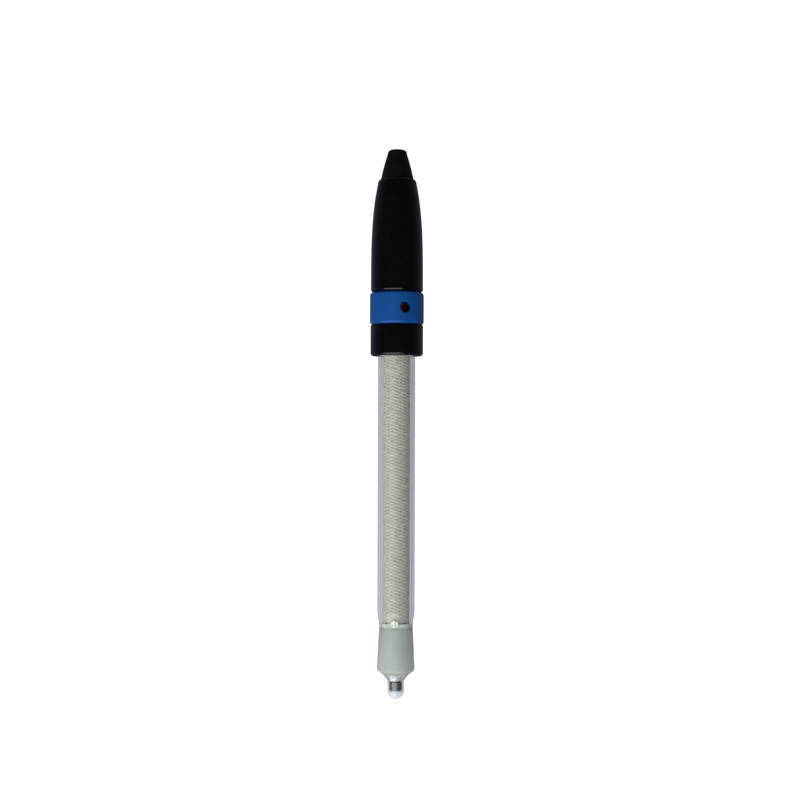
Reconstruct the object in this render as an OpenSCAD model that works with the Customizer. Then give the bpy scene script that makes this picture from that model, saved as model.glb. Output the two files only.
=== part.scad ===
// Refillable glass probe for water quality work: a glass stem under a black head with a rotating
// refill ring, and a slide-off ground-glass sleeve above a round-ended sensing tip.
// Sizes are in millimetres. The origin is on the axis at the collar's lower face, where the stem
// leaves the head. +Z points to the cable end, and -Y is the front.

/* [Stem] */
// Outside diameter of the glass stem
stem_d = 12; // [10:0.1:14.4]
// Length of the straight stem below the collar
stem_len = 82; // [60:0.5:100]
// Wall of the glass stem
stem_wall = 1; // [0.8:0.05:1.2]
// Length of the shoulder between the straight stem and the neck
shoulder_len = 4.7; // [3.9:0.1:5.7]
// How far the neck is drawn in from the stem's surface
neck_step = 0.55; // [0.4:0.05:0.7]
// Wall of the glass at the neck
neck_wall = 0.9; // [0.7:0.05:1.1]
// Length of the straight neck above the ground joint
neck_len = 0.95; // [0.85:0.05:1.15]
// How far the stem's cemented end is drawn in to seat in the collar
seat_step = 0.3; // [0.2:0.05:0.4]

/* [Ground joint] */
// Diameter lost per millimetre of joint
joint_taper = 0.1; // [0.08:0.005:0.12]
// Length of the ground joint
joint_len = 15.15; // [12.5:0.05:18.2]
// Wall of the sleeve at its upper edge
sleeve_edge = 0.48; // [0.4:0.02:0.6]
// How far the sleeve's surface flares out between the neck and the lip
sleeve_flare = 0.64; // [0.4:0.02:0.8]
// Height of the lip's outer corner above the sleeve's end
lip_h = 2; // [1.6:0.1:2.4]
// Radius of the lip's outer corner
lip_round = 1.2; // [0.8:0.1:1.4]

/* [Tip] */
// Outside diameter of the round-ended tip
tip_d = 5.25; // [4.4:0.05:6.3]
// Length of the tip with its round end
tip_len = 6.05; // [5.05:0.05:7.3]
// Wall of the tip
tip_wall = 0.5; // [0.4:0.05:0.6]
// Length of the clear funnel between the joint and the tip
funnel_len = 1.9; // [1.6:0.1:2.3]
// Height of the metal sensing element
element_h = 2.9; // [2.4:0.1:3.4]
// Distance of the element below the tip's upper end
element_drop = 0.4; // [0.3:0.05:0.6]

/* [Core] */
// Wall of the woven sleeve round the inner tube
braid_wall = 1.35; // [1:0.05:1.6]
// Wall of the inner glass tube
tube_wall = 0.8; // [0.6:0.05:0.95]
// Diameter of the signal wire
signal_wire_d = 0.8; // [0.6:0.1:1]
// Diameter of the reference wire
reference_wire_d = 0.4; // [0.3:0.05:0.5]
// Thickness of the spacers that centre the core
spacer_h = 1.1; // [0.9:0.1:1.3]
// Diameter of the junction frit in the neck
frit_d = 2.7; // [2.2:0.1:3.2]
// Direction of the frit, in degrees to the right of the front
frit_turn = -4.6; // [-30:0.2:30]

/* [Head] */
// Height of the black collar
collar_h = 10; // [8.4:0.1:12]
// How far the collar's surface is inside the ring's
collar_step = 0.22; // [0.1:0.02:0.5]
// Radius of the collar's lower edge
collar_round = 1; // [0.6:0.1:1.2]
// Height of the refill ring
ring_h = 10.4; // [8.8:0.1:12.4]
// Wall of the refill ring
ring_wall = 1.5; // [1.25:0.05:1.8]
// Radius of the ring's upper and lower edges
ring_round = 1; // [0.6:0.1:1.2]
// Diameter of the hole in the ring
ring_hole_d = 3.5; // [2.9:0.1:4.2]
// Diameter of the refill hole in the head body
port_d = 2.6; // [2.2:0.1:3.1]
// Direction of the refill hole, in degrees to the right of the front
port_turn = 18.9; // [-60:0.1:60]
// Height of the refill hole above the middle of the ring
port_rise = 0; // [-0.5:0.05:0.5]
// Section diameter of the ring's seals
o_ring_d = 1.2; // [1:0.05:1.4]
// Distance of each seal from the ring's end
seal_inset = 1.4; // [1.1:0.05:1.5]
// Wall between the refill chamber and the seal grooves
groove_floor = 1; // [0.8:0.05:1.2]

/* [Cap and boot] */
// Length of the cap from its lower face to its rim
cap_len = 36.9; // [33:0.1:44]
// How far the cap's widest surface is inside the ring's
cap_step = 0.29; // [0.2:0.01:0.6]
// Sharpness of the cap's bullet shape
cap_power = 3.3; // [2.6:0.1:4]
// Radius of the cap's upper rim
cap_round = 1.6; // [1.2:0.1:2]
// Radius of the cap's lower edge
cap_edge = 0.9; // [0.6:0.1:1.1]
// Width of the cap's rim round the boot
cap_rim = 1.05; // [0.9:0.05:1.3]
// Diameter of the boot where it leaves the cap
boot_base_d = 10.5; // [8.8:0.1:12.6]
// Diameter of the boot at its outer end
boot_tip_d = 6.2; // [5.2:0.1:7.4]
// Length of the boot outside the cap
boot_len = 9.4; // [7.9:0.1:11.2]
// Radius of the boot's outer edge
boot_round = 1.1; // [0.8:0.1:1.3]
// Diameter of the cable hole
boot_bore_d = 3.8; // [3.2:0.1:4.5]

/* [Clearances] */
// Radial running gap between the ring and the head body
run_gap = 0.05; // [0.03:0.01:0.08]
// Gap between the ring's ends and its neighbours
end_gap = 0.15; // [0.1:0.01:0.2]
// Radial gap in the ground joint
joint_gap = 0.04; // [0.02:0.01:0.06]
// Gap round the seals, so that they only touch
seal_gap = 0.02; // [0.01:0.005:0.03]
// Gap between fixed pieces that are pushed together
push_gap = 0.05; // [0.03:0.01:0.08]
// Gap round the woven sleeve
braid_gap = 0.1; // [0.05:0.01:0.15]

/* [Hidden] */
$fn = 96;
cut = 0.5; // how far a cutting shape runs past the surface that it opens
turn_to_front = -90; // from +X to the front

// Radii of the glass, from the outside in
stem_r = stem_d / 2;
stem_bore_r = stem_r - stem_wall;
seat_r = stem_r - seat_step;
neck_r = stem_r - neck_step;
neck_bore_r = neck_r - neck_wall;
braid_r = neck_bore_r - braid_gap;
braid_bore_r = braid_r - braid_wall;
tube_r = braid_bore_r - braid_gap;
tube_bore_r = tube_r - tube_wall;
cone_top_r = neck_r - sleeve_edge - joint_gap;
cone_end_r = cone_top_r - joint_taper * joint_len / 2;
cone_bore_r = tube_r + 2 * braid_gap;
tip_r = tip_d / 2;
tip_bore_r = tip_r - tip_wall;
element_r = tip_bore_r - braid_gap;

// Heights of the glass, from the collar down
neck_z = -stem_len - shoulder_len;
joint_z = neck_z - neck_len;
joint_end_z = joint_z - joint_len;
tip_z = joint_end_z - funnel_len;
tip_end_z = tip_z - tip_len;
tip_centre_z = tip_end_z + tip_r;
element_z = tip_z - element_drop;
funnel_wall = 0.6; // glass under the inner tube's end
tube_end_z = joint_end_z + funnel_wall;
web_h = 0.4; // glass floor that the lower spacer rests on
frit_rise = 0.15; // of the frit's edge above the sleeve
braid_inset = 4; // of the woven sleeve's top below the collar's
seat_margin = 1; // between the top of the seat and the collar's
braid_end_z = joint_z + web_h + spacer_h;
braid_top_z = collar_h - braid_inset;
frit_z = joint_z + frit_rise + frit_d / 2;
seat_len = collar_h - seat_margin;
cone_top_z = joint_z + 2 * joint_gap;

// Radii of the head, from the chamber out
chamber_r = stem_bore_r;
seat_bore_r = seat_r + push_gap;
groove_r = chamber_r + groove_floor;
ring_bore_r = groove_r + o_ring_d + 2 * seal_gap;
spigot_r = ring_bore_r - run_gap;
ring_r = ring_bore_r + ring_wall;
collar_r = ring_r - collar_step;
cap_r = ring_r - cap_step;
cap_seat_step = 0.6; // shoulder of the spigot that the cap stands on
stopper_step = 0.4; // shoulder that the stopper stands on
cap_seat_r = spigot_r - cap_seat_step;
cap_bore_r = cap_seat_r + push_gap;
stopper_bore_r = chamber_r + stopper_step;

// Heights of the head, from the collar up
ring_z = collar_h + end_gap;
ring_top_z = ring_z + ring_h;
cap_z = ring_top_z + end_gap;
cap_seat_h = 1;
cap_seat_z = cap_z + cap_seat_h;
cap_top_z = cap_z + cap_len;
port_z = ring_z + ring_h / 2 + port_rise;
groove_w = 1.25 * o_ring_d; // room for the seal to spread
glue_h = 0.3; // groove for the cement where the stem enters the collar
gasket_h = 0.6;
chamber_z = seat_len + gasket_h;
stopper_rise = 0.3;
stopper_z = cap_z + stopper_rise;
stopper_h = 5.5;
skirt_z = port_z - port_d;
potting_h = 4;
potting_z = stopper_z + stopper_h;
potting_margin = 0.5; // rim of the head body above the potting
head_top_z = potting_z + potting_h + potting_margin;
disc_h = 2;
disc_step = 0.3; // of the disc inside the head body's rim
pin_z = potting_z + potting_h;
pin_len = 8;
pin_d = 1.3;
pin_collar_d = pin_d + 0.8;
pin_collar_h = 0.6;
cup_d = pin_d - 0.5; // solder cup in the pin's top
cup_h = 1.5;
tube_grip = 2.5; // length of the inner tube inside the stopper
tube_top_z = stopper_z + tube_grip;
reference_x = (tube_r + braid_r) / 2;
wire_sink = 3; // how deep the reference wire runs into the woven sleeve

// Radii and heights of the boot
boot_r = boot_base_d / 2;
boot_tip_r = boot_tip_d / 2;
boot_bore_r = boot_bore_d / 2;
boot_top_z = cap_top_z + boot_len;
boot_power = 1.2; // slight barrel shape of the boot's side
flange_h = 1.5;
flange_w = 0.4;
boot_neck_h = 2.4; // of the boot, inside the cap's rim
flange_top_z = cap_top_z - boot_neck_h;
cap_top_r = boot_r + cap_rim;
cap_bore_h = 4; // straight part of the cap's bore above the head body
rim_drop = 0.05; // of the cap's rim where it meets the boot

// Points along an arc about (x, z), from angle a to angle b
function arc(x, z, r, a, b, n) =
    [for (i = [0 : n]) let (t = a + (b - a) * i / n) [x + r * cos(t), z + r * sin(t)]];

// 0 to 1 with no slope at either end
function ease(t) = t * t * (3 - 2 * t);

// The S-shaped shoulder from radius a to radius b, going down over shoulder_len
function shoulder(a, b, n) =
    [for (i = [0 : n]) let (t = i / n) [a + (b - a) * ease(pow(t, 1.15)), -stem_len - shoulder_len * t]];

// Radius of the cap's outside, at the fraction t of the way from its lower edge to its rim
function cap_side(t) = cap_r - (cap_r - cap_top_r) * pow(t, cap_power);

// Radius of the boot's side, at the fraction t of its visible length
function boot_side(t) = boot_r - (boot_r - boot_tip_r) * pow(t, boot_power);

// Turns a profile of [radius, height] points about the axis
module turned(points) {
    rotate_extrude() polygon(points);
}

// A tube standing on z
module tube(outer, inner, z, h) {
    translate([0, 0, z]) difference() {
        cylinder(r = outer, h = h);
        translate([0, 0, -cut]) cylinder(r = inner, h = h + 2 * cut);
    }
}

// Points a child's +Z outwards from the axis, at a height and an angle to the right of the front
module facing(angle, z) {
    translate([0, 0, z]) rotate([0, 0, turn_to_front + angle]) rotate([0, 90, 0]) children();
}

// A wire's hole, straight down the axis or beside it
module wire_hole(x, d, z, h) {
    translate([0, x, z - cut]) cylinder(d = d + 2 * push_gap, h = h + 2 * cut, $fn = 32);
}

// Rubber boot: a tapered outside, a neck in the cap's rim and a flange that holds it
module cable_boot() {
    steps = 14;
    side_h = boot_len - boot_round;
    color("#161616") difference() {
        turned(concat(
            [[0, flange_top_z - flange_h], [boot_r + flange_w, flange_top_z - flange_h],
             [boot_r + flange_w, flange_top_z], [boot_r - push_gap, flange_top_z],
             [boot_r - push_gap, cap_top_z]],
            [for (i = [0 : steps]) [boot_side(i / steps), cap_top_z + side_h * i / steps]],
            arc(boot_tip_r - boot_round, boot_top_z - boot_round, boot_round, 10, 90, 6),
            [[0, boot_top_z]]));
        translate([0, 0, flange_top_z - flange_h - cut])
            cylinder(r = boot_bore_r, h = boot_top_z - flange_top_z + flange_h + 2 * cut);
    }
}

// Bullet-shaped cap: stands on the spigot's shoulder, hollow, open at the top for the boot
module cap_shell() {
    steps = 24;
    side_z = cap_z + cap_edge;
    side_h = cap_len - cap_edge - cap_round;
    flange_r = boot_r + flange_w + push_gap;
    color("#0b0b0c") turned(concat(
        [[spigot_r + push_gap, cap_seat_z], [spigot_r + push_gap, cap_z]],
        arc(cap_r - cap_edge, side_z, cap_edge, -90, 0, 8),
        [for (i = [1 : steps]) [cap_side(i / steps), side_z + side_h * i / steps]],
        arc(cap_top_r - cap_round, cap_top_z - cap_round, cap_round, 10, 70, 6),
        [[boot_r, cap_top_z - rim_drop], [boot_r, flange_top_z], [flange_r, flange_top_z],
         [flange_r, flange_top_z - 3 * flange_h], [cap_bore_r, head_top_z + cap_bore_h],
         [cap_bore_r, cap_seat_z]]));
}

// Insulating disc on the head body, with the two pins through it
module terminal_disc() {
    color("#d8d4c4") difference() {
        translate([0, 0, head_top_z]) cylinder(r = cap_seat_r - disc_step, h = disc_h);
        wire_hole(0, pin_d, head_top_z, disc_h);
        wire_hole(reference_x, pin_d, head_top_z, disc_h);
    }
}

// A pin with a collar that stops it in the disc and a cup at its top for the solder
module terminal_pin(x) {
    translate([0, x, pin_z]) difference() {
        union() {
            cylinder(d = pin_d, h = pin_len, $fn = 32);
            translate([0, 0, head_top_z - pin_z + disc_h])
                cylinder(d = pin_collar_d, h = pin_collar_h, $fn = 32);
        }
        translate([0, 0, pin_len - cup_h]) cylinder(d = cup_d, h = cup_h + cut, $fn = 32);
    }
}

module signal_pin() {
    color("#c9a24a") terminal_pin(0);
}

module reference_pin() {
    color("#c9a24a") terminal_pin(reference_x);
}

// Potting that seals the wires above the stopper
module potting_plug() {
    color("#3a2f28") difference() {
        translate([0, 0, potting_z]) cylinder(r = stopper_bore_r, h = potting_h);
        wire_hole(0, signal_wire_d, potting_z, potting_h);
        wire_hole(reference_x, reference_wire_d, potting_z, potting_h);
    }
}

// Red-brown rubber stopper: closes the chamber's top and grips the inner tube, with a skirt
// down past the refill hole
module tube_stopper() {
    skirt_wall = 1.1;
    color("#8a3b22") difference() {
        union() {
            translate([0, 0, stopper_z]) cylinder(r = stopper_bore_r, h = stopper_h);
            translate([0, 0, skirt_z]) cylinder(r = tube_r + skirt_wall, h = stopper_z - skirt_z);
        }
        translate([0, 0, skirt_z - cut]) cylinder(r = tube_r, h = tube_top_z - skirt_z + cut);
        wire_hole(0, signal_wire_d, stopper_z, stopper_h);
        wire_hole(reference_x, reference_wire_d, skirt_z, potting_z - skirt_z);
    }
}

// Collar, and the spigot that carries the ring and the cap. The stem's cemented end, the refill
// chamber and the stopper are inside it
module head_body() {
    color("#101011") difference() {
        turned(concat(
            [[0, 0]],
            arc(collar_r - collar_round, collar_round, collar_round, -90, 0, 8),
            [[collar_r, collar_h], [spigot_r, collar_h], [spigot_r, cap_seat_z],
             [cap_seat_r, cap_seat_z], [cap_seat_r, head_top_z], [0, head_top_z]]));
        translate([0, 0, -cut]) cylinder(r = seat_bore_r, h = chamber_z + cut);
        translate([0, 0, -cut]) cylinder(r = stem_r + 2 * push_gap, h = glue_h + cut);
        cylinder(r = chamber_r, h = stopper_z + cut);
        translate([0, 0, stopper_z]) cylinder(r = stopper_bore_r, h = head_top_z);
        for (z = [ring_z + seal_inset, ring_top_z - seal_inset])
            tube(spigot_r + cut, groove_r, z - groove_w / 2, groove_w);
        facing(port_turn, port_z) cylinder(d = port_d, h = ring_r, $fn = 48);
    }
}

// Blue refill ring: turns on the spigot, and its hole meets the refill hole when it is open
module filler_ring() {
    rim = 0.3;
    hole_r = ring_hole_d / 2;
    color("#1a4a92") difference() {
        turned(concat(
            [[ring_bore_r, ring_z]],
            arc(ring_r - ring_round, ring_z + ring_round, ring_round, -90, 0, 8),
            arc(ring_r - ring_round, ring_top_z - ring_round, ring_round, 0, 90, 8),
            [[ring_bore_r, ring_top_z]]));
        facing(port_turn, port_z) cylinder(r = hole_r, h = ring_r + cut, $fn = 48);
        facing(port_turn, port_z) translate([0, 0, ring_r - rim])
            cylinder(r1 = hole_r, r2 = hole_r + 2 * rim, h = 2 * rim, $fn = 48);
    }
}

// A seal of round section in its groove
module o_ring(z) {
    color("#1c1c1c") translate([0, 0, z])
        rotate_extrude() translate([groove_r + seal_gap + o_ring_d / 2, 0]) circle(d = o_ring_d, $fn = 32);
}

module upper_o_ring() {
    o_ring(ring_top_z - seal_inset);
}

module lower_o_ring() {
    o_ring(ring_z + seal_inset);
}

// Flat gasket between the stem's upper rim and the head
module stem_gasket() {
    color("#1c1c1c") tube(seat_r, stem_bore_r, seat_len, gasket_h);
}

// The neck's surface of revolution, which also shapes the frit's outer face
module stem_outline() {
    turned(concat(
        [[0, seat_len], [seat_r, seat_len], [seat_r, 0], [stem_r, 0]],
        shoulder(stem_r, neck_r, 16),
        [[neck_r, cone_top_z], [cone_top_r, cone_top_z],
         [cone_end_r, joint_end_z], [tip_r, tip_z], [0, tip_z]]));
}

// Glass stem: open at the top, drawn in to the neck, then the thick ground cone and the funnel
module stem_tube() {
    color("#dfe8ea", 0.4) difference() {
        stem_outline();
        turned(concat(
            [[0, seat_len + cut], [stem_bore_r, seat_len + cut]],
            shoulder(stem_bore_r, neck_bore_r, 16),
            [[neck_bore_r, joint_z + web_h], [cone_bore_r, joint_z + web_h],
             [cone_bore_r, tube_end_z], [tip_bore_r, tip_z], [tip_bore_r, tip_z - cut],
             [0, tip_z - cut]]));
        facing(frit_turn, frit_z) cylinder(d = frit_d, h = stem_r + cut, $fn = 48);
    }
}

// Inner glass tube, from the stopper down to the funnel
module inner_tube() {
    color("#e4eced", 0.5) tube(tube_r, tube_bore_r, tube_end_z, tube_top_z - tube_end_z);
}

// Woven sleeve round the inner tube
module braided_sleeve() {
    color("#a9aa94") difference() {
        tube(braid_r, braid_bore_r, braid_end_z, braid_top_z - braid_end_z);
        wire_hole(reference_x, reference_wire_d, braid_top_z - wire_sink + cut, wire_sink);
    }
}

// A ring that centres the core, with three slots that the electrolyte passes through
module spacer(outer, z) {
    slot_w = 1.2;
    slot_depth = 0.6;
    color("#e8e8e4") difference() {
        tube(outer, tube_r + push_gap, z, spacer_h);
        for (a = [30, 150, 270])
            rotate([0, 0, a]) translate([outer - slot_depth, -slot_w / 2, z - cut])
                cube([slot_depth + cut, slot_w, spacer_h + 2 * cut]);
    }
}

module upper_spacer() {
    difference() {
        spacer(stem_bore_r - push_gap, braid_top_z);
        wire_hole(reference_x, reference_wire_d, braid_top_z, spacer_h);
    }
}

module lower_spacer() {
    spacer(neck_bore_r - push_gap, joint_z + web_h);
}

// Wire down the middle of the inner tube, from its pin to the sensing element
module signal_wire() {
    color("#b9b9b4") translate([0, 0, element_z])
        cylinder(d = signal_wire_d, h = pin_z - element_z, $fn = 32);
}

// Wire beside the inner tube, from its pin into the woven sleeve
module reference_wire() {
    z = braid_top_z - wire_sink + cut;
    color("#c8c8c4") translate([0, reference_x, z])
        cylinder(d = reference_wire_d, h = pin_z - z, $fn = 32);
}

// White porous plug in the neck's wall
module junction_frit() {
    color("#f2f2ee") intersection() {
        stem_outline();
        facing(frit_turn, frit_z) translate([0, 0, neck_bore_r + push_gap])
            cylinder(d = frit_d, h = stem_r, $fn = 48);
    }
}

// Frosted sleeve: its bore is the ground joint, and its outside flares to a rounded lip, whose
// underside runs straight in to the sleeve's end
module ground_sleeve() {
    end_r = cone_end_r + joint_gap;
    corner_r = neck_r + sleeve_flare - lip_round;
    slope = atan2(lip_h, corner_r - end_r) - asin(lip_round / norm([lip_h, corner_r - end_r]));
    color("#a9b3ae", 0.8) turned(concat(
        [[cone_top_r + joint_gap, joint_z], [neck_r, joint_z]],
        arc(corner_r, joint_end_z + lip_h, lip_round, 3, slope - 90, 8),
        [[end_r, joint_end_z]]));
}

// Clear round-ended tip, fused to the funnel's end
module sensing_tip() {
    color("#e9eff0", 0.4) rotate_extrude() difference() {
        union() {
            translate([0, tip_centre_z]) square([tip_r, tip_z - tip_centre_z]);
            translate([0, tip_centre_z]) circle(r = tip_r, $fn = 96);
        }
        translate([0, tip_centre_z]) square([tip_bore_r, tip_z - tip_centre_z + cut]);
        translate([0, tip_centre_z]) circle(r = tip_bore_r, $fn = 96);
        translate([-2 * tip_r, tip_end_z - cut]) square([2 * tip_r, tip_len + 2 * cut]);
    }
}

// Metal cylinder that senses, joined to the wire's end
module sensing_element() {
    color("#33363a") translate([0, 0, element_z - element_h]) cylinder(r = element_r, h = element_h);
}

// Packing that grips the wire in the tip's mouth, between the element and the inner tube
module tip_packing() {
    packing_z = element_z + push_gap;
    packing_h = tube_end_z - push_gap - packing_z;
    color("#f0f0ee") tube(tip_bore_r - push_gap, signal_wire_d / 2, packing_z, packing_h);
}

cable_boot();
cap_shell();
terminal_disc();
signal_pin();
reference_pin();
potting_plug();
tube_stopper();
head_body();
filler_ring();
upper_o_ring();
lower_o_ring();
stem_gasket();
stem_tube();
inner_tube();
braided_sleeve();
upper_spacer();
lower_spacer();
signal_wire();
reference_wire();
junction_frit();
ground_sleeve();
sensing_tip();
sensing_element();
tip_packing();
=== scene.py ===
import math
import random

import bpy
import numpy as np
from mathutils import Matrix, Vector, noise
from mathutils.bvhtree import BVHTree
from mathutils.interpolate import poly_3d_calc


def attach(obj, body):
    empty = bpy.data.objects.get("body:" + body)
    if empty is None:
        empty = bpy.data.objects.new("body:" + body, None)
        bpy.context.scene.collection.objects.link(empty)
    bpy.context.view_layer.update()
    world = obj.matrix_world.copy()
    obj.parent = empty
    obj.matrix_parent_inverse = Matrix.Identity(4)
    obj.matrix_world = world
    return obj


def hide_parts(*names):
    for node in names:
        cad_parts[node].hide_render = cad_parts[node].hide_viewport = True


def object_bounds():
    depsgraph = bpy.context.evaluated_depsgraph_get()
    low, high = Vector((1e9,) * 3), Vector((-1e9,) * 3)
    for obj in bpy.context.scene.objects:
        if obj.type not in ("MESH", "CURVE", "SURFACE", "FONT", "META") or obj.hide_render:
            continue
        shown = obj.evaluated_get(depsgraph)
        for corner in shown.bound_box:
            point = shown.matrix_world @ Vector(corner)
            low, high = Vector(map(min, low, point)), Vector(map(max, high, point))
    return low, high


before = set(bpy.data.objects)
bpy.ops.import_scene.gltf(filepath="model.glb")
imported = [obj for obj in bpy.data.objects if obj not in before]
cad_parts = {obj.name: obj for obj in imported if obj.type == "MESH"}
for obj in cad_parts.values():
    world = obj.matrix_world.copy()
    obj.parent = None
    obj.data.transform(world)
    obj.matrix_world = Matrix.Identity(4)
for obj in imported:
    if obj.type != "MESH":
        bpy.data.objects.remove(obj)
cad_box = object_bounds()
scene = bpy.context.scene

# ---------------------------------------------------------------- sizes, as in part.scad, in millimetres
MM = 0.001
STEM_R, STEM_BORE_R, STEM_LEN, SHOULDER_LEN, SHOULDER_POWER = 6.0, 5.0, 82.0, 4.7, 1.15
SEAT_R, SEAT_LEN, NECK_R, NECK_BORE_R = 5.7, 9.0, 5.45, 4.55
NECK_Z, JOINT_Z, JOINT_END_Z, CONE_TOP_Z = -86.7, -87.65, -102.8, -87.57
CONE_TOP_R, CONE_END_R, CONE_BORE_R, JOINT_GAP = 4.93, 4.1725, 3.2, 0.04
TUBE_END_Z, WEB_Z = -102.2, -87.25
TIP_R, TIP_BORE_R, TIP_Z, TIP_CENTRE_Z = 2.625, 2.125, -104.7, -108.125
ELEMENT_R, ELEMENT_Z, ELEMENT_H, WIRE_R = 2.025, -105.1, 2.9, 0.4
LIP_H, LIP_ROUND, SLEEVE_FLARE = 2.0, 1.2, 0.64
BRAID_R, BRAID_BORE_R, BRAID_END_Z, BRAID_TOP_Z = 4.45, 3.1, -86.15, 6.0
FRIT_R, FRIT_Z, FRIT_TURN = 1.35, -86.15, -4.6
RING_R, RING_BORE_R, RING_Z, RING_TOP_Z, RING_ROUND = 8.74, 7.24, 10.15, 20.55, 1.0
HOLE_R, PORT_R, PORT_Z, PORT_TURN, HOLE_RIM = 1.75, 1.3, 15.35, 18.9, 0.3
COLLAR_R, COLLAR_ROUND, COLLAR_H, SPIGOT_R = 8.52, 1.0, 10.0, 7.19
SEAT_BORE_R, CHAMBER_R, CHAMBER_Z, GLUE_H, GLUE_R = 5.75, 5.0, 9.6, 0.3, 6.1
STOPPER_BORE_R, STOPPER_Z, HEAD_TOP_Z, GROOVE_R, GROOVE_W, SEAL_INSET = 5.4, 21.0, 31.0, 6.0, 1.5, 1.4
CAP_R, CAP_Z, CAP_SEAT_Z, CAP_SEAT_R, CAP_BORE_R, CAP_BORE_H = 8.45, 20.7, 21.7, 6.59, 6.64, 4.0
CAP_LEN, CAP_TOP_Z, CAP_TOP_R, CAP_POWER, CAP_EDGE, CAP_ROUND = 36.9, 57.6, 6.3, 3.3, 0.9, 1.6
BOOT_R, BOOT_TIP_R, BOOT_TOP_Z, BOOT_POWER, BOOT_ROUND, BOOT_BORE_R = 5.25, 3.1, 67.0, 1.2, 1.1, 1.9
FLANGE_R, FLANGE_TOP_Z, FLANGE_H = 5.65, 55.2, 1.5
PUSH_GAP = 0.05

# what part.scad doesn't have: small edges, how meshes are cut and shaded, the backdrop
SHARP = 32                       # degrees between faces from which an edge stays sharp
SAME_FACE, ALIGNED = 2e-7, 0.99  # metres and cosine within which a cut face belongs to an old one
EDGE, SOFT_EDGE = 0.1, 0.2       # small roundings and chamfers, in millimetres
COLLAR_TOP_ROUND, ELEMENT_EDGE = 0.15, 0.12
BACKDROP = 1.1                   # brightness of the white that the camera sees
FLOOR_DROP, FLOOR_HALF = 0.012, 6.0


# ---------------------------------------------------------------- mesh helpers
def arc(x, z, r, a, b, n):
    """Points of an arc about (x, z), from angle a to angle b in degrees."""
    turns = [math.radians(a + (b - a) * i / n) for i in range(n + 1)]
    return [(x + r * math.cos(t), z + r * math.sin(t)) for t in turns]


def turned(profile, segments=192):
    """Vertices and faces of the closed profile of (radius, height) points, turned about the axis."""
    area = sum(a[0] * b[1] - b[0] * a[1] for a, b in zip(profile, profile[1:] + profile[:1]))
    points = profile if area > 0 else profile[::-1]
    verts, rows, faces = [], [], []
    for r, z in points:
        if r < 1e-6:
            rows.append([len(verts)])
            verts.append((0, 0, z))
            continue
        rows.append(list(range(len(verts), len(verts) + segments)))
        for i in range(segments):
            t = 2 * math.pi * i / segments
            verts.append((r * math.cos(t), r * math.sin(t), z))
    for a, b in zip(rows, rows[1:] + rows[:1]):
        if len(a) == 1 and len(b) == 1:
            continue
        for i in range(segments):
            j = (i + 1) % segments
            if len(a) == 1:
                faces.append((a[0], b[j], b[i]))
            elif len(b) == 1:
                faces.append((a[i], a[j], b[0]))
            else:
                faces.append((a[i], a[j], b[j], b[i]))
    return verts, faces


def make(name, shape, materials, sharp=SHARP):
    """A mesh object from (vertices in millimetres, faces), smooth apart from edges sharper than the angle."""
    verts, faces = shape
    mesh = bpy.data.meshes.new(name)
    mesh.from_pydata([(x * MM, y * MM, z * MM) for x, y, z in verts], [], faces)
    mesh.validate()
    mesh.shade_smooth()
    mesh.set_sharp_from_angle(angle=math.radians(sharp))
    for m in materials:
        mesh.materials.append(m)
    obj = bpy.data.objects.new(name, mesh)
    scene.collection.objects.link(obj)
    return obj


def place(obj, body, slot, *nodes):
    """The piece rides on its body and stands for the CAD nodes, which it hides; the slot is not used."""
    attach(obj, body)
    if nodes:
        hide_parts(*nodes)
    return obj


def drill(obj, cutter):
    """Cuts the cutter's shape out of obj, and keeps the normals of the surface that is left."""
    before = obj.data.copy()
    modifier = obj.modifiers.new("cut", "BOOLEAN")
    modifier.operation, modifier.object, modifier.solver = "DIFFERENCE", cutter, "EXACT"
    bpy.context.view_layer.update()
    after = bpy.data.meshes.new_from_object(obj.evaluated_get(bpy.context.evaluated_depsgraph_get()))
    obj.modifiers.clear()
    after.name = obj.data.name
    after.shade_smooth()
    after.set_sharp_from_angle(angle=math.radians(SHARP))
    corners = [Vector(n.vector) for n in after.corner_normals]
    kept = [Vector(n.vector) for n in before.corner_normals]
    points = [v.co.copy() for v in before.vertices]
    tree = BVHTree.FromPolygons(points, [tuple(p.vertices) for p in before.polygons])
    for face in after.polygons:
        _, normal, index, distance = tree.find_nearest(face.center)
        if index is None or distance > SAME_FACE or normal.dot(face.normal) < ALIGNED:
            continue
        old = before.polygons[index]
        outline = [points[v] for v in old.vertices]
        for k in face.loop_indices:
            weights = poly_3d_calc(outline, after.vertices[after.loops[k].vertex_index].co)
            mixed = sum((kept[c] * w for c, w in zip(old.loop_indices, weights)), Vector())
            if mixed.length > 0.5:
                corners[k] = mixed.normalized()
    after.normals_split_custom_set(corners)
    obj.data = after
    bpy.data.objects.remove(cutter)


def facing(turn, z, shape):
    """The shape, drawn along +Z, laid so that +Z points out from the axis at an angle to the right of the front."""
    a = math.radians(turn - 90)
    out, side = (math.cos(a), math.sin(a)), (-math.sin(a), math.cos(a))
    verts, faces = shape
    return [(h * out[0] + x * side[0], h * out[1] + x * side[1], z + y) for x, y, h in verts], faces


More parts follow.
